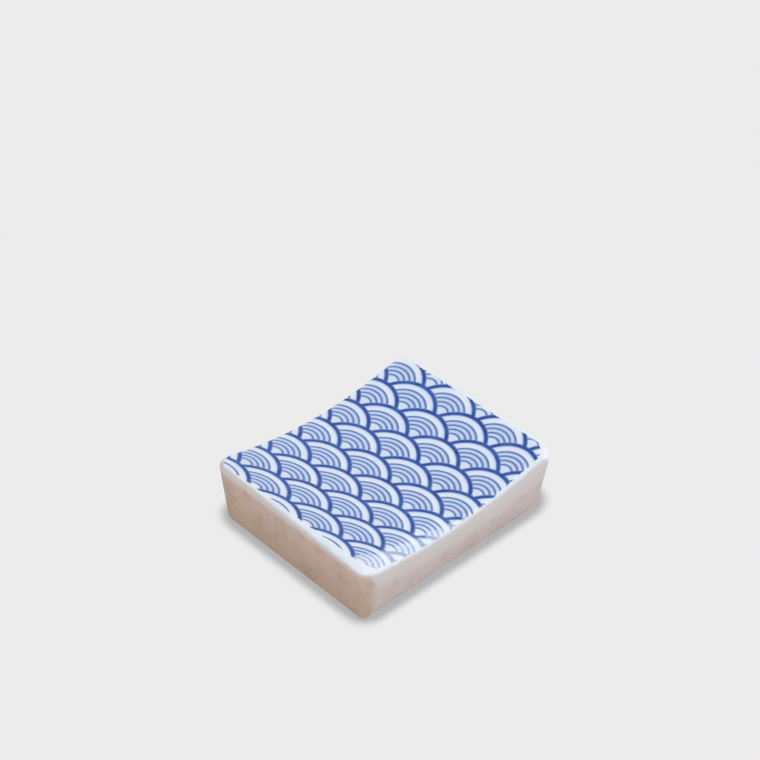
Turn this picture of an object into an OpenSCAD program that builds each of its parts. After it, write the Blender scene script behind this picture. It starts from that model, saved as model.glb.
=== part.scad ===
/* [Block] */
// Length between the outer faces of the two raised ends
rest_l = 45; // [40:0.5:50]
// Width along the straight floor of the dip
rest_w = 39.25; // [36:0.25:43]
// Height of the crest of the raised ends
end_h = 11.7; // [10.5:0.1:13]
// Height at the lowest line of the dip
dip_h = 8.85; // [8:0.05:9.2]
// Inward lean of the two end faces toward the base, in degrees
end_draft = 3; // [1:0.5:6]
// Inward lean of the two flanks toward the base, in degrees
flank_draft = 9; // [2:0.5:10]

/* [Softened edges] */
// Height over which the rim rolls into the sides
rim_drop = 1.75; // [1.4:0.05:2]
// Reach of the rolled rim in from each end
rim_in_end = 1.25; // [0.9:0.05:1.6]
// Reach of the rolled rim in from each flank
rim_in_flank = 1.55; // [1.1:0.05:2]
// Radius of the worn lower edge
base_edge_r = 0.6; // [0.3:0.05:1]

/* [Upright corners] */
// Plan radius at the rim of the corner that faces -X and -Y
near_rim_r = 2.6; // [2.2:0.1:5]
// Plan radius at the rim of the corner that faces -X and +Y
left_rim_r = 4; // [3:0.1:5]
// Plan radius at the rim of the corner that faces +X and +Y
far_rim_r = 3.6; // [3:0.1:5]
// Plan radius at the rim of the corner that faces +X and -Y
right_rim_r = 4.2; // [3:0.1:5]
// Plan radius at the base of the corner that faces -X and -Y
near_base_r = 1; // [0.8:0.1:3.5]
// Plan radius at the base of the corner that faces -X and +Y
left_base_r = 2.4; // [1.2:0.1:3.5]
// Plan radius at the base of the corner that faces +X and +Y
far_base_r = 2.4; // [1.2:0.1:3.5]
// Plan radius at the base of the corner that faces +X and -Y
right_base_r = 3.2; // [1.2:0.1:3.5]

/* [Underside] */
// Width of the flat band that the block stands on
foot_band = 4.2; // [3:0.1:6]
// Depth of the shallow wiped hollow inside that band
foot_hollow = 0.5; // [0.3:0.05:1]
// Plan radius of the hollow's corners
hollow_corner_r = 1.5; // [0.8:0.1:2]

/* [Glaze] */
// Thickness of the white glaze on the top
glaze_t = 0.3; // [0.2:0.02:0.4]
// Thickness that is left where the glaze ends on the sides
glaze_edge_t = 0.06; // [0.04:0.01:0.1]
// Depth of that end below the rim
glaze_drop = 3.6; // [3:0.1:4.2]

/* [Wave pattern] */
// Radius of one wave, out to the outside of its bold line
wave_r = 6.86; // [6.6:0.02:7.1]
// Half of the spacing between neighbouring waves of one row
wave_half_pitch = 6.28; // [6.1:0.02:6.4]
// Spacing between rows
wave_row_pitch = 3.485; // [3.4:0.005:3.6]
// Width of the bold line
bold_w = 0.76; // [0.6:0.02:0.86]
// Width of the fine lines
fine_w = 0.39; // [0.3:0.01:0.44]
// Radii of the fine lines as shares of the wave's radius
fine_shares = [0.268, 0.413, 0.555, 0.695];
// Height of the printed lines above the glaze
print_t = 0.1; // [0.06:0.01:0.14]
// Turn of the print on the block, in degrees
print_turn = 0.94; // [0:0.02:1.5]
// Centre of the first wave along the length, measured over the curve
first_wave_u = -19.21; // [-19.6:0.01:-18.8]
// Centre of the first wave along the width
first_wave_v = 15.48; // [15:0.01:16]
// Length of the printed field
field_l = 42.8; // [40:0.1:43]
// Width of the printed field
field_w = 36.1; // [33:0.1:36.4]
// Corner radius of the printed field
field_corner_r = 2.2; // [1.5:0.1:3]

/* [Hidden] */
$fn = 96;
clay = [0.66, 0.58, 0.52];
glaze = [0.90, 0.93, 0.97];
cobalt = [0.16, 0.27, 0.58];

half_l = rest_l / 2;
half_w = rest_w / 2;
dip = end_h - dip_h;
crest_x = half_l - rim_in_end;
widest_z = end_h - rim_drop;
cradle_r = (crest_x * crest_x + dip * dip) / (2 * dip);
cradle_z = dip_h + cradle_r;
overrun = rest_l / 20;

// Steps in each rolled corner, along each flank and up the rolled rim
corner_steps = 9;
flank_steps = 26;
rim_steps = 6;
walk_last = 4 * (corner_steps + 1) + 2 * (flank_steps - 1) - 1;

// One walk round the plan: the frame corner that a point belongs to and its compass angle
function arc_walk(sx, sy, a0) = [for (k = [0:corner_steps]) [sx, sy, a0 + 90 * k / corner_steps]];
function flank_walk(s) = [for (k = [1:flank_steps - 1]) [s * (1 - 2 * k / flank_steps), s, s > 0 ? 90 : 270]];
walk = concat(arc_walk(1, 1, 0), flank_walk(1), arc_walk(-1, 1, 90), arc_walk(-1, -1, 180),
              flank_walk(-1), arc_walk(1, -1, 270));

// Height of the finished top over the length
function top_z(x) = cradle_z - sqrt(cradle_r * cradle_r - x * x);

// A value for a place between the four corners, and the plan radius there at a height
function blend(sx, sy, near, left, far, right) = (1 - sx) * (1 - sy) / 4 * near + (1 - sx) * (1 + sy) / 4 * left
    + (1 + sx) * (1 + sy) / 4 * far + (1 + sx) * (1 - sy) / 4 * right;
function corner_r(sx, sy, z) = let (
    base_r = blend(sx, sy, near_base_r, left_base_r, far_base_r, right_base_r),
    rim_r = blend(sx, sy, near_rim_r, left_rim_r, far_rim_r, right_rim_r))
    base_r + (rim_r - base_r) * min(1, z / widest_z);

// A point drawn in by the lean of its side below the widest level
function leaned(x, y, z) = [x * (1 - (widest_z - z) * tan(end_draft) / half_l),
                            y * (1 - (widest_z - z) * tan(flank_draft) / half_w), z];

// A closed ring: insets from ends and flanks, share of the top's height, and an offset from that
function ring(in_end, in_flank, share, offset) = let (z = share * end_h + offset)
    [for (w = walk) let (
        r = max(corner_r(w[0], w[1], z) - min(in_end, in_flank), min(hollow_corner_r, in_flank)),
        x = w[0] * (half_l - in_end - r) + r * cos(w[2]),
        y = w[1] * (half_w - in_flank - r) + r * sin(w[2]))
        leaned(x, y, share * top_z(x) + offset)];

// A ring on the rolled rim, t inside the finished face
function rim_ring(a, t) = ring(rim_in_end * (1 - cos(a)) + t * cos(a), rim_in_flank * (1 - cos(a)) + t * cos(a),
                               1, -rim_drop * (1 - sin(a)) - t * sin(a));
function rim_rings(t) = [for (k = [0:rim_steps]) rim_ring(90 * k / rim_steps, t)];

// Faces of a stack of rings, each one between two neighbouring rings
ring_n = walk_last + 1;
function band(a, b) = [for (i = [0:walk_last]) let (j = (i + 1) % ring_n)
    [a * ring_n + i, b * ring_n + i, b * ring_n + j, a * ring_n + j]];
// Straight rulings that close a ring across the width, with two triangles between each pair
function lid(a) = [for (i = [0:ring_n / 2 - 2]) let (p = a * ring_n + i, q = a * ring_n + walk_last - i)
    each [[p, p + 1, q - 1], [p, q - 1, q]]];
function turned(faces) = [for (f = faces) [for (k = [len(f) - 1:-1:0]) f[k]]];

// A solid from rings that run from the middle of one face, round the outside, to the middle of the other
module ringed_solid(rings) {
    last = len(rings) - 1;
    polyhedron(points = [for (r = rings) each r],
               faces = concat(lid(0), [for (k = [0:last - 1]) each band(k, k + 1)], turned(lid(last))));
}

hollow_in = foot_band + foot_hollow;
foot_rings = [
    ring(hollow_in, hollow_in, 0, foot_hollow),
    ring(foot_band, foot_band, 0, 0),
    ring(base_edge_r, base_edge_r, 0, 0),
    ring(base_edge_r * (1 - cos(45)), base_edge_r * (1 - cos(45)), 0, base_edge_r * (1 - sin(45))),
    ring(0, 0, 0, base_edge_r)
];
glaze_end = ring(0, 0, 1, -glaze_drop);
glaze_seat = ring(glaze_edge_t, glaze_edge_t, 1, -glaze_drop);

// The pressed clay block, set back under the glaze
module ceramic_body() {
    color(clay) ringed_solid(concat(foot_rings, [glaze_end, glaze_seat], rim_rings(glaze_t)));
}

// The fired glaze over the top, the rolled rim and the upper sides
module glaze_coat() {
    inner = rim_rings(glaze_t);
    inner_down = [for (k = [len(inner) - 1:-1:0]) inner[k]];
    color(glaze) ringed_solid(concat(inner_down, [glaze_seat, glaze_end], rim_rings(0)));
}

// Height of the print's underside above the top, which clears the facets of the glaze
print_seat = glaze_t / 30;
bold_cut_r = wave_r - bold_w / 2;
// Rows and columns on each side of the first wave that reach the printed field
rows_before = floor((field_l / 2 + wave_r + first_wave_u) / wave_row_pitch);
rows_after = floor((field_l / 2 - first_wave_u) / wave_row_pitch);
cols_before = floor((field_w / 2 + wave_r - first_wave_v) / wave_half_pitch);
cols_after = floor((field_w / 2 + wave_r + first_wave_v) / wave_half_pitch);

// Position of a row along the length, laid over the curve
function row_x(m) = cradle_r * sin((first_wave_u + m * wave_row_pitch) / cradle_r * 180 / PI);

module line_ring(r_out, w) {
    difference() {
        circle(r = r_out);
        circle(r = r_out - w);
    }
}

// One wave without what its neighbours in front hide
module wave() {
    difference() {
        union() {
            line_ring(wave_r, bold_w);
            for (s = fine_shares) line_ring(s * wave_r + fine_w / 2, fine_w);
        }
        translate([-wave_row_pitch, wave_half_pitch]) circle(r = bold_cut_r);
        translate([-wave_row_pitch, -wave_half_pitch]) circle(r = bold_cut_r);
        translate([-2 * wave_row_pitch, 0]) circle(r = bold_cut_r);
    }
}

// The whole field of waves, cut to the printed outline
module wave_field() {
    intersection() {
        rotate([0, 0, print_turn])
            for (m = [-rows_before:rows_after])
                for (j = [-cols_before:cols_after])
                    if ((m - j) % 2 == 0)
                        translate([row_x(m), first_wave_v - j * wave_half_pitch]) wave();
        field_outline();
    }
}

module field_outline() {
    long = field_l - 2 * field_corner_r;
    wide = field_w - 2 * field_corner_r;
    square([field_l, wide], center = true);
    square([long, field_w], center = true);
    for (sx = [-1, 1])
        for (sy = [-1, 1])
            translate([sx * long / 2, sy * wide / 2]) circle(r = field_corner_r);
}

module cradle_roll(r) {
    translate([0, 0, cradle_z]) rotate([90, 0, 0]) cylinder(r = r, h = rest_w, center = true);
}

// The blue waves, in the thin relief of a transfer print
module wave_print() {
    color(cobalt) intersection() {
        translate([0, 0, dip_h - overrun]) linear_extrude(dip + 2 * overrun) wave_field();
        difference() {
            cradle_roll(cradle_r - print_seat);
            cradle_roll(cradle_r - print_seat - print_t);
        }
    }
}

ceramic_body();
glaze_coat();
wave_print();
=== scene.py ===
"""A fired ceramic chopstick rest with a printed wave pattern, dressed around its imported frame."""
import math

import bpy
import numpy as np
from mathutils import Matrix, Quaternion, Vector, noise
from mathutils.bvhtree import BVHTree


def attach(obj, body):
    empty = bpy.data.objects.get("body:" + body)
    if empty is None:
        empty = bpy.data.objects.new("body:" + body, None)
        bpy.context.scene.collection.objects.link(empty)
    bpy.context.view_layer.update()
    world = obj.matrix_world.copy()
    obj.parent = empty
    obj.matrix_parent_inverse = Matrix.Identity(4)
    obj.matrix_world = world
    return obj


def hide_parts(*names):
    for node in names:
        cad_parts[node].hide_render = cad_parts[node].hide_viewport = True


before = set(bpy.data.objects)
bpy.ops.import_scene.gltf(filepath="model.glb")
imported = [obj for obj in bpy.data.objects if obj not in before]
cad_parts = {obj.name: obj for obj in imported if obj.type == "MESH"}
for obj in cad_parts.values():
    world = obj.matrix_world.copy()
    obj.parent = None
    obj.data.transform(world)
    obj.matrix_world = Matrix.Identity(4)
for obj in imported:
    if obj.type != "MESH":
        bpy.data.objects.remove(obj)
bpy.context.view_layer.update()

# A millimetre, in the metres that Blender's objects have
MM = 0.001

# Block, in millimetres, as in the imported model
HALF_L = 45 / 2
HALF_W = 39.25 / 2
END_H = 11.7
DIP_H = 8.85
END_LEAN = math.tan(math.radians(3))
FLANK_LEAN = math.tan(math.radians(9))
RIM_DROP = 1.75
RIM_IN_END = 1.25
RIM_IN_FLANK = 1.55
BASE_EDGE_R = 0.6
FOOT_BAND = 4.2
FOOT_HOLLOW = 0.5
HOLLOW_REACH = 2.0
HOLLOW_CORNER_R = 1.5
GLAZE_T = 0.3
GLAZE_EDGE_T = 0.06
GLAZE_DROP = 3.6

# Plan radii of the upright corners, from the one at -X and -Y by way of the one at -X and +Y
RIM_CORNERS = (2.6, 4.0, 3.6, 4.2)
BASE_CORNERS = (1.0, 3.0, 2.4, 4.4)

DIP = END_H - DIP_H
CREST_X = HALF_L - RIM_IN_END
WIDEST_Z = END_H - RIM_DROP
CRADLE_R = (CREST_X**2 + DIP**2) / (2 * DIP)
CRADLE_Z = DIP_H + CRADLE_R

# Mesh steps along each flank, along each end, in half a corner, and up the surfaces
FLANK_COUNT = 120
END_COUNT = 104
ARC_COUNT = 8
EDGE_STEPS = 5
FOOT_STEPS = 8
SIDE_STEPS = 20
SEAT_STEPS = 4
SKIRT_STEPS = 9
RIM_STEPS = 14

# Angle between two faces from which their edge is drawn sharp
SHARP_EDGE = math.radians(55)

# Unevenness of the surfaces, always inwards: depth and width of the lumps, and the depths below the
# top between which those of the clay take over
CLAY_LUMPS = ((0.09, 6.5), (0.035, 2.1), (0.02, 1.0))
GLAZE_LUMPS = ((0.030, 7.0), (0.008, 2.4))
LUMP_FADE = (0.6, 2.8)

# Slight fall of the top toward the two flanks: depth and reach
SHOULDER_DROP = 0.2
SHOULDER_REACH = 5.5

# Mean radius of the rolled rim
RIM_ROUND = 1.6

# Where the glaze is worn thin, as a way over the rolled rim: the most, at the corner at -X and -Y,
# what it loses for each millimetre along and across from there, what it loses over the first
# stretch of the end at -X, and the least
WEAR_NEAR = 1.75
WEAR_FADE = (0.03, 0.03)
WEAR_TURN = 0.25
WEAR_TURN_SPAN = 5
WEAR_LEAST = 0.55

# What the two far sides have more: the end at +X from one x to another, and the flank at +Y from one
# y to another, past the corner at -X from one x to another
WEAR_FAR = 2.2
FAR_END_X = (19, HALF_L - 1)
FAR_FLANK_Y = (17, HALF_W)
FAR_FLANK_X = (-HALF_L, -16)

# Wave pattern: radius of a wave and spacing of the waves, and the first wave's centre over the curve
WAVE_R = 6.86
HALF_PITCH = 6.28
ROW_PITCH = 3.485
PRINT_TURN = math.radians(0.94)
FIRST_U = -19.21
FIRST_V = 15.48

# Lines of a wave: middle radius and width of the bold one, width of the fine ones and their radii
BOLD_R = 6.51
BOLD_W = 0.82
FINE_W = 0.40
FINE_SHARES = (0.268, 0.413, 0.555, 0.695)

# Printed field: corners and their radius, depth and pace of its ragged edge, and the least distance
# to the outline of the block
FIELD_CORNERS = ((-21.2, -19.3), (21.4, -17.85), (21.4, 18.6), (-22.0, 18.6))
FIELD_CORNER_R = 3.0
FIELD_RAG = 0.12
FIELD_RAG_PACE = (2.3, 5.9)
FIELD_MARGIN = 0.6

# Relief and ink of the lines: lift above the glaze, share of the half width over which a line rises,
# strength and feathered width of the ink, and where both set in at the edge of the field
BOLD_LIFT = 0.014
FINE_LIFT = 0.010
LIFT_SHARE = 0.7
LIFT_SETS_IN = (-0.02, 0.06)
FINE_INK = 0.85
INK_FEATHER = 0.13
INK_SETS_IN = (-0.02, 0.16)

# Mesh of the lines: depth of their lowest point, step along them, the fewest steps round a wave and
# angles in a stretch, steps across a line, the least width, tries for an end, and places across
LINE_SINK = 0.05
LINE_STEP = 0.22
LEAST_STEPS = 24
LEAST_ANGLES = 4
WIDTH_STEPS = 12
LEAST_WIDTH = 0.02
END_TRIES = 5
SECTION = (0.0, 0.14, 0.3, 0.5, 0.7, 0.86, 1.0)

# How the hand-laid print has moved along and across: in the middle, and more toward the edges
LAY_SPAN = (20.0, 18.0)
LAY_MIDDLE = (-0.18, -0.33)
LAY_LEAN_ALONG = (0.01, 0.08)
LAY_LEAN_ACROSS = (-0.02, -0.11)
LAY_BOW_ALONG = (0.20, 0.22)
LAY_BOW_ACROSS = (0.31, 0.38)
LAY_TWIST = (-0.09, -0.41)

# Ink that has bled into the glaze: shares of a wave's radius over which it starts and ends, how much
# there is in the middle of the wave, and where and how much there is beside the bold line
BLEED_FROM = (0.20, 0.28)
BLEED_TO = (0.71, 0.77)
BLEED_MIDDLE = 0.5
BLEED_BESIDE = (0.78, 0.88)
BLEED_BESIDE_MOST = 0.7

# Ink paled by the edge at -Y, a painted reflection of glare that adds to the window lamp's own: its
# share, for some x the y where that starts, the width over which it starts, the share of that which
# lies ahead, and depth and pace of the line's unevenness
GLARE_PALING_MOST = 0.46
GLARE_PALING_FROM = ((-20, -14.8), (-17, -16.4), (-12, -16.5), (-8, -17.1), (-3, -17.0), (0, -18.3))
GLARE_PALING_WIDTH = 0.5
GLARE_PALING_AHEAD = 0.4
GLARE_PALING_RAG = 0.5
GLARE_PALING_PACE = ((2.1, 1), (4.7, -2))

# Camera, at the photograph's viewing angle, in millimetres and degrees
CAMERA_AT = (-164.959, -174.992, 214.579)
CAMERA_TURN = -43.0917
CAMERA_DIP = 37.8495
LENS = 87.476
SENSOR = 36
CLIP_START = 10


def srgb(red, green, blue):
    """A colour as it looks on screen, from 0 to 255, as linear light."""
    parts = [c / 255 for c in (red, green, blue)]
    linear = [c / 12.92 if c <= 0.04045 else ((c + 0.055) / 1.055) ** 2.4 for c in parts]
    return (*linear, 1.0)


BACKDROP = srgb(237, 236, 236)
GLAZE_COOL = srgb(217, 228, 242)
GLAZE_WARM = srgb(224, 231, 238)
GLAZE_BLED = srgb(186, 205, 234)
WASH = srgb(194, 188, 187)
COBALT_DEEP = srgb(16, 61, 147)
COBALT_PALE = srgb(38, 86, 166)
# The brown colours paint warm shade on the end at -X
CLAY_BROWN = srgb(184, 162, 151)
# Colours named _LOW paint shade toward the base
CLAY_BROWN_LOW = srgb(175, 152, 135)
CLAY_BROWN_DARK = srgb(160, 135, 118)
CLAY_PINK = srgb(196, 185, 182)
CLAY_PINK_LOW = srgb(191, 179, 176)
CLAY_PINK_DARK = srgb(174, 160, 156)
CLAY_RUST = srgb(190, 158, 136)
CLAY_UNDER = srgb(196, 176, 162)


# Surfaces of the block


def top_z(x):
    """Height of the finished top over the length."""
    return CRADLE_Z - np.sqrt(CRADLE_R**2 - x**2)


def smooth_share(value, low, high):
    """Runs smoothly from 0 to 1 as value goes from low to high."""
    share = min(1.0, max(0.0, (value - low) / (high - low)))
    return share * share * (3 - 2 * share)


def blend(sx, sy, corners):
    """A value for a place between the four corners, sx and sy from -1 to 1."""
    near, left, far, right = corners
    at_minus_x = (1 - sy) * near + (1 + sy) * left
    at_plus_x = (1 + sy) * far + (1 - sy) * right
    return ((1 - sx) * at_minus_x + (1 + sx) * at_plus_x) / 4


def leaned(x, y, z):
    """Points drawn in by the lean of their sides below the widest level."""
    return np.stack(
        [
            x * (1 - (WIDEST_Z - z) * END_LEAN / HALF_L),
            y * (1 - (WIDEST_Z - z) * FLANK_LEAN / HALF_W),
            z,
        ],
        axis=-1,
    )


def side_walk(normal, count):
    """Steps along one side of the plan, from the middle of one corner to just before the next."""
    first = np.sign([math.cos(math.radians(normal - 45)), math.sin(math.radians(normal - 45))])
    last = np.sign([math.cos(math.radians(normal + 45)), math.sin(math.radians(normal + 45))])
    steps = []
    for k in range(count):
        before = min(0, k - ARC_COUNT)
        after = max(0, k - (count - ARC_COUNT))
        share = min(1, max(0, (k - ARC_COUNT) / (count - 2 * ARC_COUNT)))
        angle = normal + 45 * (before + after) / ARC_COUNT
        steps.append((*(first + (last - first) * share), math.radians(angle)))
    return steps


WALK = np.array(
    side_walk(0, END_COUNT)
    + side_walk(90, FLANK_COUNT)
    + side_walk(180, END_COUNT)
    + side_walk(270, FLANK_COUNT)
)
RING_N = len(WALK)
OUTWARD = np.stack([np.cos(WALK[:, 2]), np.sin(WALK[:, 2])], axis=-1)


def corner_r(z):
    """Plan radius of the corners at a height, for each step of the walk."""
    base = blend(WALK[:, 0], WALK[:, 1], BASE_CORNERS)
    rim = blend(WALK[:, 0], WALK[:, 1], RIM_CORNERS)
    return base + (rim - base) * min(1, z / WIDEST_Z)


def plan(in_end, in_flank, share, offset):
    """Plan of a ring before it leans: x and y of each step."""
    r = np.maximum(
        corner_r(share * END_H + offset) - min(in_end, in_flank),
        min(HOLLOW_CORNER_R, in_flank),
    )
    x = WALK[:, 0] * (HALF_L - in_end - r) + r * OUTWARD[:, 0]
    y = WALK[:, 1] * (HALF_W - in_flank - r) + r * OUTWARD[:, 1]
    return x, y


def facing(angle):
    """Direction in which each step of a ring faces, by its angle above the level."""
    level = OUTWARD * math.cos(angle)
    return np.column_stack([level, np.full(RING_N, math.sin(angle))])


def ring(in_end, in_flank, share, offset, angle=0.0):
    """A closed ring: its points and the directions that they face."""
    x, y = plan(in_end, in_flank, share, offset)
    return leaned(x, y, share * top_z(x) + offset), facing(angle)


def rim_ring(angle, t):
    """A ring on the rolled rim, t inside the finished face."""
    roll_in, roll_down = 1 - math.cos(angle), 1 - math.sin(angle)
    return ring(
        RIM_IN_END * roll_in + t * math.cos(angle),
        RIM_IN_FLANK * roll_in + t * math.cos(angle),
        1,
        -RIM_DROP * roll_down - t * math.sin(angle),
        angle,
    )


def rim_rings(t, steps):
    """Rings up the rolled rim, from the widest level to the top."""
    return [rim_ring(math.pi / 2 * k / steps, t) for k in range(steps + 1)]


def between(first, last, steps):
    """Rings that divide the way from one ring to another, without the two."""
    shares = [k / steps for k in range(1, steps)]
    return [tuple(a + (b - a) * s for a, b in zip(first, last)) for s in shares]


def lid_points(in_end, in_flank, share, offset):
    """A grid that fills a ring: one row of points for each step along the length."""
    x, y = plan(in_end, in_flank, share, offset)
    rim = np.column_stack([x, y])
    right = rim[: END_COUNT + 1]
    far = rim[END_COUNT : END_COUNT + FLANK_COUNT + 1][::-1]
    left = rim[END_COUNT + FLANK_COUNT : 2 * END_COUNT + FLANK_COUNT + 1][::-1]
    near = np.vstack([rim[2 * END_COUNT + FLANK_COUNT :], rim[:1]])
    a = np.linspace(0, 1, FLANK_COUNT + 1)[:, None, None]
    b = np.linspace(0, 1, END_COUNT + 1)[None, :, None]
    flat = (
        (1 - b) * near[:, None]
        + b * far[:, None]
        + (1 - a) * left[None]
        + a * right[None]
        - (1 - a) * (1 - b) * near[0]
        - a * (1 - b) * near[-1]
        - (1 - a) * b * far[0]
        - a * b * far[-1]
    )
    return leaned(flat[..., 0], flat[..., 1], share * top_z(flat[..., 0]) + offset)


def rim_index(i, j):
    """Number within its ring of a point on the edge of a lid's grid, or None inside."""
    if i == FLANK_COUNT:
        return j
    if j == END_COUNT:
        return END_COUNT + FLANK_COUNT - i
    if i == 0:
        return END_COUNT + FLANK_COUNT + END_COUNT - j
    if j == 0:
        return 2 * END_COUNT + FLANK_COUNT + i
    return None


def lumps(point, sizes):
    """Depth of the unevenness at a point."""
    return sum(
        depth * (0.5 + 0.5 * noise.noise(Vector(point) / width + Vector((width, 0, 0))))
        for depth, width in sizes
    )


def run_down(point):
    """Depth of a point below the finished top."""
    return float(top_z(min(abs(point[0]), CREST_X)) - point[2])


def over_rim(point):
    """Way to a point from the crest of the rim, over the roll and down the side."""
    down = max(0.0, run_down(point))
    on_roll = math.acos(1 - min(down, RIM_DROP) / RIM_DROP)
    return RIM_ROUND * on_roll + max(0.0, down - RIM_DROP)


def glaze_wear(point):
    """Way of a point past the line on which the glaze is worn thin."""
    along, across = point[0] + HALF_L, point[1] + HALF_W
    turned = WEAR_TURN * smooth_share(across, 0, WEAR_TURN_SPAN)
    line = WEAR_NEAR - (WEAR_FADE[0] * along + WEAR_FADE[1] * across + turned)
    far_end = smooth_share(point[0], *FAR_END_X)
    far_flank = smooth_share(point[1], *FAR_FLANK_Y) * smooth_share(point[0], *FAR_FLANK_X)
    return over_rim(point) - max(WEAR_LEAST, line) - WEAR_FAR * max(far_end, far_flank)


def uneven(point, face):
    """A point moved inwards by the lumps of its surface, which are stronger on the bare clay."""
    clay = smooth_share(run_down(point), *LUMP_FADE)
    depth = (1 - clay) * lumps(point, GLAZE_LUMPS) + clay * lumps(point, CLAY_LUMPS)
    edge = max(0, 1 - (HALF_W - abs(point[1])) / SHOULDER_REACH)
    depth += SHOULDER_DROP * edge**2 * max(0, face[2])
    off_floor = smooth_share(point[2], 0, BASE_EDGE_R)
    return np.array(point) - np.array(face) * depth * off_floor


def band(a, b, count):
    """Faces between two rings of count points, which are numbered from a and from b."""
    nexts = [(i + 1) % count for i in range(count)]
    return [(a + i, a + j, b + j, b + i) for i, j in enumerate(nexts)]


def lid_faces(lid, base, points, flip):
    """Faces of a lid; its inner points are added to the points, its edge is numbered from base."""
    index = np.zeros(lid.shape[:2], int)
    face = (0, 0, -1) if flip else (0, 0, 1)
    for i in range(FLANK_COUNT + 1):
        for j in range(END_COUNT + 1):
            edge = rim_index(i, j)
            if edge is None:
                index[i, j] = len(points)
                points.append(np.array([*lid[i, j], *face]))
            else:
                index[i, j] = base + edge % RING_N
    corners = [index[:-1, :-1], index[1:, :-1], index[1:, 1:], index[:-1, 1:]]
    cells = np.stack(corners[::-1] if flip else corners, axis=-1)
    return cells.reshape(-1, 4).tolist()


def ringed_mesh(name, rings, first_lid, last_lid):
    """A closed mesh from the rings between two lids, in metres."""
    points = [p for r in rings for p in np.hstack(r)]
    last = (len(rings) - 1) * RING_N
    faces = [f for a in range(0, last, RING_N) for f in band(a, a + RING_N, RING_N)]
    faces += lid_faces(first_lid, 0, points, True)
    faces += lid_faces(last_lid, last, points, False)
    placed = [uneven(p[:3], p[3:]) for p in points]
    mesh = bpy.data.meshes.new(name)
    mesh.from_pydata([tuple(p * MM) for p in placed], [], faces)
    keep_values(mesh, "drop", [run_down(p[:3]) for p in points])
    keep_values(mesh, "wear", [glaze_wear(p[:3]) for p in points])
    keep_values(mesh, "bleed", bleed(np.array(points)[:, :2]))
    return mesh


def keep_values(mesh, name, values):
    """Stores one number for each vertex, for the materials to read."""
    attribute = mesh.attributes.new(name, "FLOAT", "POINT")
    attribute.data.foreach_set("value", np.array(values, np.float32))


def as_piece(mesh, material, node):
    """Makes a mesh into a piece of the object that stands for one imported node."""
    mesh.polygons.foreach_set("use_smooth", [True] * len(mesh.polygons))
    mesh.set_sharp_from_angle(angle=SHARP_EDGE)
    mesh.materials.append(material)
    piece = bpy.data.objects.new(mesh.name, mesh)
    bpy.context.scene.collection.objects.link(piece)
    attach(piece, "root")
    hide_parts(node)


def foot_rings():
    """Rings from the hollow of the underside out to the worn lower edge."""
    rings = []
    for k in range(FOOT_STEPS + 1):
        share = k / FOOT_STEPS
        inset = FOOT_BAND + HOLLOW_REACH * (1 - share)
        height = FOOT_HOLLOW * (1 - smooth_share(share, 0, 1))
        rings.append(ring(inset, inset, 0, height, -math.pi / 2))
    for k in range(EDGE_STEPS + 1):
        angle = math.pi / 2 * (1 - k / EDGE_STEPS)
        inset = BASE_EDGE_R * (1 - math.cos(angle))
        rings.append(ring(inset, inset, 0, BASE_EDGE_R * (1 - math.sin(angle)), -angle))
    return rings


GLAZE_END = ring(0, 0, 1, -GLAZE_DROP)
GLAZE_SEAT = ring(GLAZE_EDGE_T, GLAZE_EDGE_T, 1, -GLAZE_DROP)


def clay_block():
    """The pressed clay block, set back under the glaze."""
    foot = foot_rings()
    hollow_in = FOOT_BAND + HOLLOW_REACH
    seat = rim_rings(GLAZE_T, RIM_STEPS // 2)
    rings = [
        *foot,
        *between(foot[-1], GLAZE_END, SIDE_STEPS),
        GLAZE_END,
        GLAZE_SEAT,
        *between(GLAZE_SEAT, seat[0], SEAT_STEPS),
        *seat,
    ]
    under = lid_points(hollow_in, hollow_in, 0, FOOT_HOLLOW)
    top = lid_points(RIM_IN_END, RIM_IN_FLANK, 1, -GLAZE_T)
    return ringed_mesh("clay_block", rings, under, top)


def glaze_skin():
    """The fired glaze over the top, the rolled rim and the upper sides."""
    seat = rim_rings(GLAZE_T, RIM_STEPS // 2)
    rim = rim_rings(0, RIM_STEPS)
    rings = [
        *seat[::-1],
        *between(seat[0], GLAZE_SEAT, SEAT_STEPS),
        GLAZE_SEAT,
        GLAZE_END,
        *between(GLAZE_END, rim[0], SKIRT_STEPS),
        *rim,
    ]
    under = lid_points(RIM_IN_END, RIM_IN_FLANK, 1, -GLAZE_T)
    top = lid_points(RIM_IN_END, RIM_IN_FLANK, 1, 0)
    return ringed_mesh("glaze_skin", rings, under, top)


# Printed waves


TURN = np.array(
    [[math.cos(PRINT_TURN), -math.sin(PRINT_TURN)], [math.sin(PRINT_TURN), math.cos(PRINT_TURN)]]
)


def stretch(places):
    """How far the print has moved at places of the block's plan."""
    along, across = places[..., :1] / LAY_SPAN[0], places[..., 1:] / LAY_SPAN[1]
    lean = along * np.array(LAY_LEAN_ALONG) + across * np.array(LAY_LEAN_ACROSS)
    bow = along**2 * np.array(LAY_BOW_ALONG) + across**2 * np.array(LAY_BOW_ACROSS)
    return np.array(LAY_MIDDLE) + lean + bow + along * across * np.array(LAY_TWIST)


def laid(points):
    """Points of the flat print laid over the curve and turned, in the plan of the block."""
    curved = np.stack([CRADLE_R * np.sin(points[..., 0] / CRADLE_R), points[..., 1]], axis=-1)
    turned = curved @ TURN.T
    return turned + stretch(turned)


def unlaid(places):
    """The reverse of laid: points of the flat print for places in the plan of the block."""
    curved = (places - stretch(places)) @ TURN
    return np.stack([CRADLE_R * np.arcsin(curved[..., 0] / CRADLE_R), curved[..., 1]], axis=-1)


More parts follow.
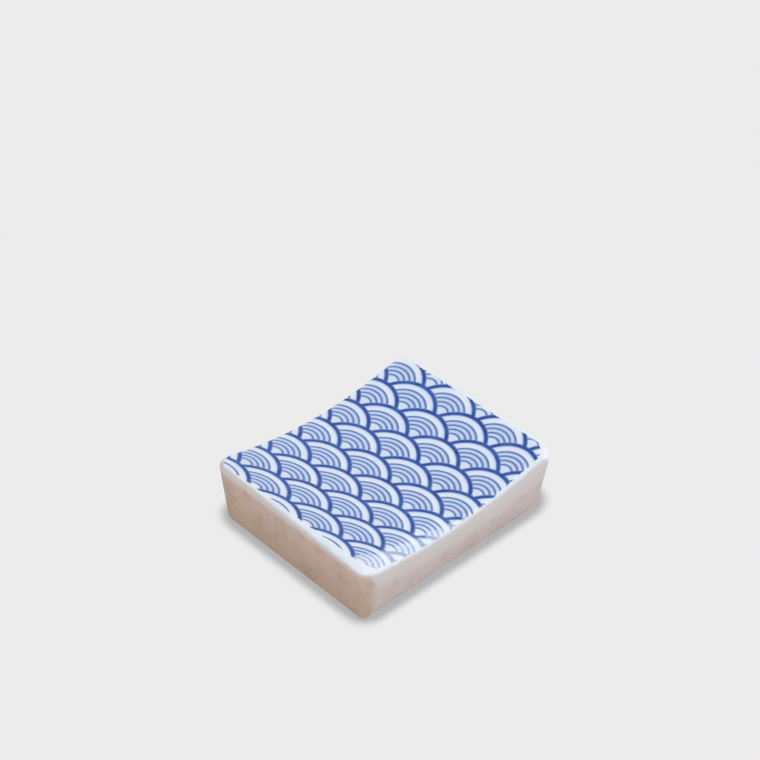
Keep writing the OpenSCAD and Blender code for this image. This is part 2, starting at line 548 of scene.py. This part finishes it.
def wave_centres():
    """Centres of the waves that reach the printed field."""
    reach_l, reach_w = max(abs(c[0]) for c in FIELD_CORNERS), max(abs(c[1]) for c in FIELD_CORNERS)
    rows = range(
        -math.floor((reach_l + WAVE_R + FIRST_U) / ROW_PITCH),
        math.floor((reach_l - FIRST_U) / ROW_PITCH) + 1,
    )
    columns = range(
        -math.floor((reach_w + WAVE_R - FIRST_V) / HALF_PITCH),
        math.floor((reach_w + WAVE_R + FIRST_V) / HALF_PITCH) + 1,
    )
    return [
        np.array([FIRST_U + m * ROW_PITCH, FIRST_V - j * HALF_PITCH])
        for m in rows
        for j in columns
        if (m - j) % 2 == 0
    ]


def inside_field(points):
    """Distance of points of the flat print from the ragged edge of the printed field."""
    placed = laid(points)
    corner = np.zeros(placed.shape[:-1])
    for a, b in zip(FIELD_CORNERS, FIELD_CORNERS[1:] + FIELD_CORNERS[:1]):
        along = np.array(b) - np.array(a)
        along = along / np.linalg.norm(along)
        off = placed - np.array(a)
        place = off @ along
        waves = [np.sin(place * pace + start) for pace, start in zip(FIELD_RAG_PACE, a)]
        rag = FIELD_RAG * sum(waves) / 2
        edge = along[0] * off[..., 1] - along[1] * off[..., 0] + rag
        corner += np.maximum(0, FIELD_CORNER_R - edge) ** 2
    return np.minimum(FIELD_CORNER_R - np.sqrt(corner), inside_block(placed) - FIELD_MARGIN)


def inside_block(places):
    """Distance of places from the outline of the block's plan, up to a corner's radius."""
    r = blend(np.sign(places[..., 0]), np.sign(places[..., 1]), RIM_CORNERS)
    from_end = np.maximum(0, r - HALF_L + abs(places[..., 0]))
    from_flank = np.maximum(0, r - HALF_W + abs(places[..., 1]))
    return r - np.hypot(from_end, from_flank)


def bleed(places):
    """How much ink has bled into the glaze at places of the block's plan."""
    points = unlaid(places)
    centres = np.array(wave_centres())
    radii = np.linalg.norm(points[:, None] - centres[None], axis=-1) / WAVE_R
    front = np.where(radii < 1, centres[None, :, 0], np.inf).argmin(axis=1)
    share = radii[np.arange(len(points)), front]
    rise = np.interp(share, BLEED_FROM, (BLEED_MIDDLE, 1.0))
    fall = np.interp(share, BLEED_TO, (1.0, 0.0))
    beside = np.interp(share, BLEED_BESIDE, (0.0, BLEED_BESIDE_MOST))
    inside = np.clip(inside_field(points), 0, 1)
    # The bled ink pales under the painted glare too
    return np.maximum(np.minimum(rise, fall), beside) * inside * ink_under_painted_glare(places)


def ink_under_painted_glare(places):
    """Share of the ink that shows through the painted glare at places of the block's plan."""
    x, y = places[..., 0], places[..., 1]
    waves = [np.sin(along * x + across * y) for along, across in GLARE_PALING_PACE]
    start = np.interp(x, *zip(*GLARE_PALING_FROM)) + GLARE_PALING_RAG * sum(waves) / 2
    return 1 - GLARE_PALING_MOST * np.clip((start - y) / GLARE_PALING_WIDTH + GLARE_PALING_AHEAD, 0, 1)


def past_neighbours(points, centre):
    """Distance of points from what the three waves in front hide."""
    hides = [(-ROW_PITCH, HALF_PITCH), (-ROW_PITCH, -HALF_PITCH), (-2 * ROW_PITCH, 0)]
    gaps = [np.linalg.norm(points - centre - np.array(h), axis=-1) for h in hides]
    return np.min(gaps, axis=0) - BOLD_R


def crossing(radii, clear, k, step):
    """Radius at which clear falls to nothing on the way from place k to its neighbour."""
    if not 0 <= k + step < len(radii):
        return radii[k]
    share = clear[k] / (clear[k] - clear[k + step])
    return radii[k] + share * (radii[k + step] - radii[k])


def clear_span(radii, clear):
    """The widest stretch of radii over which clear stays positive, or None."""
    spans = []
    for k in range(len(radii)):
        if clear[k] > 0 and (k == 0 or clear[k - 1] <= 0):
            start = crossing(radii, clear, k, -1)
        if clear[k] > 0 and (k + 1 == len(radii) or clear[k + 1] <= 0):
            spans.append((start, crossing(radii, clear, k, 1)))
    wide = [s for s in spans if s[1] - s[0] > LEAST_WIDTH]
    return max(wide, key=lambda s: s[1] - s[0], default=None)


def span_at(centre, radii, angle):
    """What shows of a line's width at one angle round its wave."""
    way = np.array([math.cos(angle), math.sin(angle)])
    points = centre + radii[:, None] * way
    clear = np.minimum(inside_field(points), past_neighbours(points, centre))
    return clear_span(radii, clear)


def line_runs(centre, radii):
    """Stretches of a line that show: lists of angles with the width that shows there."""
    steps = max(LEAST_STEPS, int(2 * math.pi * radii[-1] / LINE_STEP))
    angles = [-math.pi + 2 * math.pi * k / steps for k in range(steps + 1)]
    runs = []
    run = []
    for k, angle in enumerate(angles):
        span = span_at(centre, radii, angle)
        if span is None and run:
            runs.append(run + run_end(centre, radii, run[-1], angle))
            run = []
        elif span is not None:
            if not run and k:
                run = run_end(centre, radii, (angle, span), angles[k - 1])
            run.append((angle, span))
    return [r for r in runs + [run] if len(r) >= LEAST_ANGLES]


def run_end(centre, radii, seen, hidden_angle):
    """One more angle at which a line shows, toward one at which it is hidden, or none."""
    ends = []
    for _ in range(END_TRIES):
        middle = (seen[0] + hidden_angle) / 2
        span = span_at(centre, radii, middle)
        if span is None:
            hidden_angle = middle
        else:
            seen = (middle, span)
            ends = [seen]
    return ends


def line_section(centre, angle, span, middle_r, half, lift, strength):
    """Points across a line, the last one sunk: place, lift above the glaze and amount of ink."""
    way = np.array([math.cos(angle), math.sin(angle)])
    places = [span[0] + (span[1] - span[0]) * s for s in SECTION]
    points = np.array([centre + r * way for r in places])
    inside = inside_field(points)
    # Ink paled by the painted glare near the edge at -Y
    left = ink_under_painted_glare(laid(points))
    section = []
    for r, point, edge, share in zip(places, points, inside, left):
        depth = half - abs(r - middle_r)
        feather = smooth_share(depth, 0, 2 * INK_FEATHER) * smooth_share(edge, *INK_SETS_IN)
        rise = smooth_share(depth, 0, LIFT_SHARE * half) * smooth_share(edge, *LIFT_SETS_IN)
        section.append((point, lift * rise, strength * share * feather))
    middle = centre + (span[0] + span[1]) / 2 * way
    return section + [(middle, -LINE_SINK, 0)]


def ridge_faces(first, sections, count):
    """Faces of a closed ridge: sections of count points each, numbered from first."""
    starts = [first + k * count for k in range(sections)]
    faces = [f for a, b in zip(starts, starts[1:]) for f in band(a, b, count)]
    caps = [tuple(range(a, a + count)) for a in (starts[0], starts[-1])]
    return faces + [caps[0][::-1], caps[1]]


def printed_lines():
    """The lines of all waves: centre, middle radius, width, lift and strength of the ink."""
    lines = [(BOLD_R, BOLD_W, BOLD_LIFT, 1.0)]
    lines += [(share * WAVE_R, FINE_W, FINE_LIFT, FINE_INK) for share in FINE_SHARES]
    return [(centre, *line) for centre in wave_centres() for line in lines]


def wave_lines(glaze_mesh):
    """The blue waves: a closed low ridge for each stretch of line that shows."""
    ground = BVHTree.FromPolygons(
        [v.co / MM for v in glaze_mesh.vertices],
        [tuple(p.vertices) for p in glaze_mesh.polygons],
    )
    high = Vector((0, 0, 2 * END_H))
    down = Vector((0, 0, -1))
    vertices, faces, inks = [], [], []

    def put(point, rise, ink):
        x, y = laid(np.array(point))
        place, normal, _, _ = ground.ray_cast(Vector((x, y, 0)) + high, down)
        vertices.append((place + normal * rise) * MM)
        inks.append(ink)

    for centre, middle_r, width, lift, strength in printed_lines():
        half = width / 2 + INK_FEATHER
        radii = np.linspace(middle_r - half, middle_r + half, WIDTH_STEPS + 1)
        for run in line_runs(centre, radii):
            faces += ridge_faces(len(vertices), len(run), len(SECTION) + 1)
            for angle, span in run:
                section = line_section(centre, angle, span, middle_r, half, lift, strength)
                for point, rise, ink in section:
                    put(point, rise, ink)
    mesh = bpy.data.meshes.new("wave_lines")
    mesh.from_pydata([tuple(v) for v in vertices], [], faces)
    keep_values(mesh, "ink", inks)
    keep_values(mesh, "bleed", bleed(np.array(vertices)[:, :2] / MM))
    return mesh


# Materials


class Graph:
    """Adds nodes to the tree of a material or world."""

    def __init__(self, owner):
        self.owner = owner
        owner.use_nodes = True
        self.tree = owner.node_tree
        self.tree.nodes.clear()

    def add(self, kind, inputs=None, **settings):
        """Adds a node; an input is a fixed value or the socket that feeds it."""
        node = self.tree.nodes.new(kind)
        for key, value in settings.items():
            setattr(node, key, value)
        for key, value in (inputs or {}).items():
            if isinstance(value, bpy.types.NodeSocket):
                self.tree.links.new(value, node.inputs[key])
            else:
                node.inputs[key].default_value = value
        return node

    def math(self, operation, first, second=0.0):
        return self.add("ShaderNodeMath", {0: first, 1: second}, operation=operation).outputs[0]

    def ramp(self, value, low, high, start=0.0, end=1.0):
        """Runs smoothly from start to end as value goes from low to high."""
        inputs = {"Value": value, "From Min": low, "From Max": high, "To Min": start, "To Max": end}
        return self.add("ShaderNodeMapRange", inputs, interpolation_type="SMOOTHSTEP").outputs["Result"]

    def swing(self, value, width):
        """A noise value as an offset to both sides of 0."""
        return self.math("MULTIPLY", self.math("SUBTRACT", value, 0.5), width)

    def weighted(self, share, first, second):
        """A share of one value and the rest of another."""
        rest = self.math("MULTIPLY", second, 1 - share)
        return self.math("ADD", self.math("MULTIPLY", first, share), rest)

    def mix(self, share, first, second):
        inputs = {"Factor": share, 6: first, 7: second}
        return self.add("ShaderNodeMix", inputs, data_type="RGBA").outputs[2]

    def noise(self, place, scale, detail=2.0, roughness=0.5):
        inputs = {"Vector": place, "Scale": scale, "Detail": detail, "Roughness": roughness}
        return self.add("ShaderNodeTexNoise", inputs).outputs["Fac"]

    def value(self, name):
        """A number that is kept with the mesh."""
        return self.add("ShaderNodeAttribute", attribute_name=name).outputs["Fac"]

    def place(self):
        """Position on the object in millimetres."""
        coordinates = self.add("ShaderNodeTexCoord").outputs["Object"]
        inputs = {0: coordinates, "Scale": 1 / MM}
        return self.add("ShaderNodeVectorMath", inputs, operation="SCALE").outputs[0]

    def bump(self, height, depth):
        """Surface relief, depth in millimetres."""
        return self.add("ShaderNodeBump", {"Height": height, "Distance": depth * MM}).outputs["Normal"]

    def surface(self, colour, roughness, normal, sheen):
        """Ends in a surface with a fixed level of reflections."""
        inputs = {
            "Base Color": colour,
            "Roughness": roughness,
            "Normal": normal,
            "Specular IOR Level": sheen,
        }
        return self.end("ShaderNodeOutputMaterial", self.add("ShaderNodeBsdfPrincipled", inputs))

    def seen(self):
        """1 for what the camera sees, also in reflections and through glass."""
        kinds = self.add("ShaderNodeLightPath").outputs
        seen = self.math("MAXIMUM", kinds["Is Camera Ray"], kinds["Is Glossy Ray"])
        return self.math("MAXIMUM", seen, kinds["Is Transmission Ray"])

    def end(self, kind, shader):
        """Joins a shader to the output node."""
        self.add(kind, {"Surface": shader.outputs[0]})
        return self.owner


# Noise in the clay: features for each millimetre, detail and roughness
PATCHES = (0.22, 2.0, 0.5)
MOTTLE = (0.9, 3.0, 0.6)
GRAIN = (5.0, 2.0, 0.6)
SPECKS = (2.0, 1.0)
PITS = (2.2, 2.0, 0.6)
SPOT_RAG = (1.6, 2.0)

# Values of the noise between which each mark sets in, and how strong it gets
TONE_DARK = (0.42, 0.72, 0.0, 0.6)
GRAIN_DARK = (0.5, 0.8, 0.0, 0.2)
SPECKS_DARK = (0.68, 0.76, 0.0, 0.4)
PITS_DARK = (0.48, 0.64, 0.0, 0.45)

# Heights between which the painted shade toward the base, the pits of painted shade and the tint of the
# worn underside set in
BASE_SHADE_HEIGHTS = (8.5, 3.0)
LOW_PIT_SHADE = (4.5, 1.0)
LOW_WORN = (0.35, 0.0, 0.0, 0.6)

# Places along between which the pinkish clay turns brown, a painted warm shade on the end at -X, and
# the raggedness of that border
BROWN_FROM = (-HALF_L + 4.4, -HALF_L + 1.6)
BROWN_RAG = 1.5

# Depth below the top at which the pale wash ends, on the pinkish and on the brown clay, the reach
# over which it ends, and its raggedness
WASH_END = (3.2, 0.4)
WASH_REACH = 2.0
WASH_RAG = 0.6

# Specks of iron low on the flank at -Y: place along, height and radius, their raggedness, the share
# of the radius that is full, and their strength
RUST_SPOTS = ((-1.0, 1.5, 0.6), (3.4, 1.1, 1.0), (9.9, 0.8, 0.8))
RUST_RAG = 1.6
RUST_FULL = 0.3
RUST_STRENGTH = 0.5

# Share of the patches in the tone and of the mottle in the relief, depth of the relief, roughness
# over the mottle, and level of the reflections
PATCH_SHARE = 0.6
MOTTLE_SHARE = 0.7
CLAY_RELIEF = 0.14
CLAY_ROUGH = (0.3, 0.7, 0.72, 0.9)
CLAY_SHEEN = 0.25


def clay_tone(g, along, up, patches, mottle):
    """Patchy colour of the clay, with painted shade that deepens toward the base, and the share that is
    brown: painted warm shade on the end at -X.
    """
    # Painted shade: the clay darkens toward the base
    low = g.ramp(up, *BASE_SHADE_HEIGHTS)
    dark = g.ramp(g.weighted(PATCH_SHARE, patches, mottle), *TONE_DARK)
    brown = g.mix(dark, g.mix(low, CLAY_BROWN, CLAY_BROWN_LOW), CLAY_BROWN_DARK)
    pink = g.mix(dark, g.mix(low, CLAY_PINK, CLAY_PINK_LOW), CLAY_PINK_DARK)
    # Painted warm shade: the clay turns brown toward the end at -X
    shaded_end = g.ramp(g.math("ADD", along, g.math("MULTIPLY", patches, BROWN_RAG)), *BROWN_FROM)
    return g.mix(shaded_end, pink, brown), shaded_end


def with_rust(g, place, colour):
    """A colour with the faint specks of iron on it."""
    rag = g.swing(g.noise(place, *SPOT_RAG), RUST_RAG)
    for spot_x, spot_z, spot_r in RUST_SPOTS:
        spot = (spot_x, FLANK_LEAN * (WIDEST_Z - spot_z) - HALF_W, spot_z)
        gap = g.add("ShaderNodeVectorMath", {0: place, 1: spot}, operation="DISTANCE").outputs["Value"]
        rust = g.ramp(g.math("ADD", gap, rag), spot_r, RUST_FULL * spot_r, 0.0, RUST_STRENGTH)
        colour = g.mix(rust, colour, CLAY_RUST)
    return colour


def with_marks(g, place, up, grain, colour):
    """A colour with dark grain, dark specks and, low down, dark spots of painted pit shadow on it."""
    specks = g.ramp(g.noise(place, *SPECKS), *SPECKS_DARK)
    # Painted shade: dark spots that stand in for shaded pits, low down only
    pit_shade = g.math("MULTIPLY", g.ramp(g.noise(place, *PITS), *PITS_DARK), g.ramp(up, *LOW_PIT_SHADE))
    for mark in (g.ramp(grain, *GRAIN_DARK), specks, pit_shade):
        colour = g.mix(mark, colour, CLAY_BROWN_DARK)
    return colour


def clay_look(g, place):
    """Colour, roughness and relief of the bare fired clay."""
    along, _, up = g.add("ShaderNodeSeparateXYZ", {0: place}).outputs
    patches = g.noise(place, *PATCHES)
    mottle = g.noise(place, *MOTTLE)
    grain = g.noise(place, *GRAIN)
    tone, shaded_end = clay_tone(g, along, up, patches, mottle)
    colour = with_marks(g, place, up, grain, with_rust(g, place, tone))
    drop = g.math("ADD", g.value("drop"), g.swing(mottle, WASH_RAG))
    past_wash = g.math("SUBTRACT", drop, g.ramp(shaded_end, 0.0, 1.0, *WASH_END))
    colour = g.mix(g.ramp(past_wash, 0.0, WASH_REACH), WASH, colour)
    colour = g.mix(g.ramp(up, *LOW_WORN), colour, CLAY_UNDER)
    return colour, g.ramp(mottle, *CLAY_ROUGH), g.weighted(MOTTLE_SHARE, mottle, grain)


# Roughness of the glaze and level of its reflections
GLOSS = 0.08
SHEEN = 0.3

# Noise in the glaze: features for each millimetre, detail and roughness, and where each shows
CLOUDS = (0.16, 2.0, 0.5)
CLOUDS_WARM = (0.35, 0.65)
PINPOINTS = (6.0, 1.0, 0.5)
PINPOINTS_BLUE = (0.6, 0.8, 0.0, 0.2)

# Worn glaze: scale and width of its ragged line, and how colour, roughness and relief of the clay
# come through on the way past that line
WEAR_NOISE = 0.5
WEAR_RAG = 0.5
WORN_COLOUR = (-0.5, 0.6)
WORN_ROUGH = (0.0, 2.0, GLOSS, 0.8)
WORN_RELIEF = (0.0, 1.5)

# Ink: clouds between the deep and the pale blue, roughness over its noise, and its fine relief
INK_CLOUDS = (0.5, 2.0)
INK_PALE = (0.3, 0.7)
INK_NOISE = 2.0
INK_ROUGH = (0.3, 0.7, GLOSS, 2 * GLOSS)
INK_GRAIN = 3.0
INK_RELIEF = 0.004


def glaze_look(g, place):
    """Colour of the glaze: a cool milky white that clouds a little."""
    colour = g.mix(g.ramp(g.noise(place, *CLOUDS), *CLOUDS_WARM), GLAZE_COOL, GLAZE_WARM)
    colour = g.mix(g.value("bleed"), colour, GLAZE_BLED)
    return g.mix(g.ramp(g.noise(place, *PINPOINTS), *PINPOINTS_BLUE), colour, GLAZE_BLED)


def clay_material():
    """Bare fired clay."""
    g = Graph(bpy.data.materials.new("fired_clay"))
    colour, roughness, relief = clay_look(g, g.place())
    return g.surface(colour, roughness, g.bump(relief, CLAY_RELIEF), CLAY_SHEEN)


def glaze_material():
    """Glaze that wears thin on the rim, down to the wash and the clay below it."""
    g = Graph(bpy.data.materials.new("white_glaze"))
    place = g.place()
    clay, _, relief = clay_look(g, place)
    wear = g.math("ADD", g.value("wear"), g.swing(g.noise(place, WEAR_NOISE), WEAR_RAG))
    colour = g.mix(g.ramp(wear, *WORN_COLOUR), glaze_look(g, place), clay)
    height = g.math("MULTIPLY", relief, g.ramp(wear, *WORN_RELIEF))
    return g.surface(colour, g.ramp(wear, *WORN_ROUGH), g.bump(height, CLAY_RELIEF), SHEEN)


def print_material():
    """Cobalt ink that fades into the glaze at the edges of each line."""
    g = Graph(bpy.data.materials.new("cobalt_print"))
    place = g.place()
    cobalt = g.mix(g.ramp(g.noise(place, *INK_CLOUDS), *INK_PALE), COBALT_DEEP, COBALT_PALE)
    colour = g.mix(g.value("ink"), glaze_look(g, place), cobalt)
    roughness = g.ramp(g.noise(place, INK_NOISE), *INK_ROUGH)
    return g.surface(colour, roughness, g.bump(g.noise(place, INK_GRAIN), INK_RELIEF), SHEEN)


# Floor, light and camera


FLOOR_HALF = 3000
FLOOR_ALBEDO = (0.92, 0.92, 0.92, 1.0)

# Shade on the floor close to the object: its reach, colour, samples, and the openness where it starts
CONTACT_REACH = 3.0
CONTACT_SHADE = srgb(179, 178, 178)
CONTACT_SAMPLES = 24
CONTACT_FROM = 0.56

WORLD_STRENGTH = 0.85

# Lamps: azimuth from +X towards +Y, elevation, distance, width, height, radiance, roll, and whether
# they show in reflections
LAMPS = {
    "window": (33.4, 34.8, 900, 80, 310, 2.8, -20, True),
    "key": (0, 45, 1200, 900, 900, 1.45, 0, True),
    "front_fill": (-133, 12, 1000, 700, 500, 2.3, 0, False),
}


def floor_material():
    """A pale floor that is seen as the backdrop colour, darker where the object stands close."""
    g = Graph(bpy.data.materials.new("pale_floor"))
    reach = {"Distance": CONTACT_REACH * MM}
    near = g.add("ShaderNodeAmbientOcclusion", reach, samples=CONTACT_SAMPLES).outputs["AO"]
    colour = g.mix(g.ramp(near, CONTACT_FROM, 1.0), CONTACT_SHADE, BACKDROP)
    glow = g.add("ShaderNodeEmission", {"Color": colour, "Strength": 1.0}).outputs[0]
    plain = g.add("ShaderNodeBsdfDiffuse", {"Color": FLOOR_ALBEDO}).outputs[0]
    mixed = g.add("ShaderNodeMixShader", {0: g.seen(), 1: plain, 2: glow})
    return g.end("ShaderNodeOutputMaterial", mixed)


def floor():
    """The floor, which isn't part of the object."""
    h = FLOOR_HALF * MM
    mesh = bpy.data.meshes.new("floor")
    mesh.from_pydata([(-h, -h, 0), (h, -h, 0), (h, h, 0), (-h, h, 0)], [], [(0, 1, 2, 3)])
    mesh.materials.append(floor_material())
    plane = bpy.data.objects.new("floor", mesh)
    bpy.context.scene.collection.objects.link(plane)


def sky():
    """Even light from all sides, seen as the backdrop colour."""
    world = bpy.data.worlds.new("studio")
    bpy.context.scene.world = world
    g = Graph(world)
    even = {"Color": (1, 1, 1, 1), "Strength": WORLD_STRENGTH}
    light = g.add("ShaderNodeBackground", even).outputs[0]
    backdrop = g.add("ShaderNodeBackground", {"Color": BACKDROP, "Strength": 1.0}).outputs[0]
    mixed = g.add("ShaderNodeMixShader", {0: g.seen(), 1: light, 2: backdrop})
    g.end("ShaderNodeOutputWorld", mixed)


def softbox(name, azimuth, elevation, distance, wide, high, radiance, roll, mirrored):
    """A soft rectangular lamp that faces the object."""
    a, e = math.radians(azimuth), math.radians(elevation)
    away = Vector((math.cos(a) * math.cos(e), math.sin(a) * math.cos(e), math.sin(e)))
    turn = away.to_track_quat("Z", "Y") @ Quaternion((0, 0, 1), math.radians(roll))
    data = bpy.data.lights.new(name, "AREA")
    data.shape = "RECTANGLE"
    data.size = wide * MM
    data.size_y = high * MM
    data.energy = radiance * math.pi * data.size * data.size_y
    lamp = bpy.data.objects.new(name, data)
    lamp.location = away * distance * MM
    lamp.rotation_euler = turn.to_euler()
    lamp.visible_glossy = mirrored
    bpy.context.scene.collection.objects.link(lamp)


def camera():
    """The camera, at the photograph's viewing angle."""
    data = bpy.data.cameras.new("camera")
    data.lens = LENS
    data.sensor_width = SENSOR
    data.clip_start = CLIP_START * MM
    eye = bpy.data.objects.new("camera", data)
    eye.location = Vector(CAMERA_AT) * MM
    eye.rotation_euler = (math.radians(90 - CAMERA_DIP), 0, math.radians(CAMERA_TURN))
    bpy.context.scene.collection.objects.link(eye)
    bpy.context.scene.camera = eye


camera()
sky()
floor()
for lamp_name, lamp_values in LAMPS.items():
    softbox(lamp_name, *lamp_values)
bpy.context.scene.view_settings.view_transform = "Standard"

glaze = glaze_skin()
as_piece(clay_block(), clay_material(), "ceramic_body")
as_piece(glaze, glaze_material(), "glaze_coat")
as_piece(wave_lines(glaze), print_material(), "wave_print")
